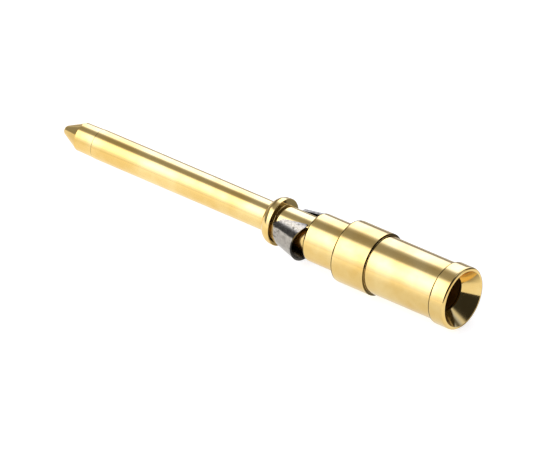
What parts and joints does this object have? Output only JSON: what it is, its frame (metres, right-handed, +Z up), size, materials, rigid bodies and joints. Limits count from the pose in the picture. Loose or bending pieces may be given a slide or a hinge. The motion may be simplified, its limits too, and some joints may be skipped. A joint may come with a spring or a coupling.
{
  "type": "crimp contact",
  "caption": "Turned, gold-plated crimp contact: tapered pin, collared neck with a C-shaped steel retention clip, and a stepped barrel with a funnel-mouthed wire bore.",
  "frame": {"origin": "middle of the contact's length, straight below its axis on the surface that it lies on", "axes": "+X along the contact's axis, out of the crimp mouth; +Z up, within the gap of the clip"},
  "size_m": [0.0258, 0.0034, 0.0033],
  "materials": {
    "gold_plate": "polished gold plate",
    "spring_steel": "rolled, lightly tumbled strip"
  },
  "bodies": {
    "contact": {"contact_body": "gold_plate"},
    "clip": {"retention_clip": "spring_steel"}
  },
  "joints": [
    {"name": "clip_turn", "type": "hinge", "parent": "contact", "child": "clip", "pos_m": [0.00245, 0, 0.00168], "axis": [1, 0, 0], "continuous": true}
  ]
}
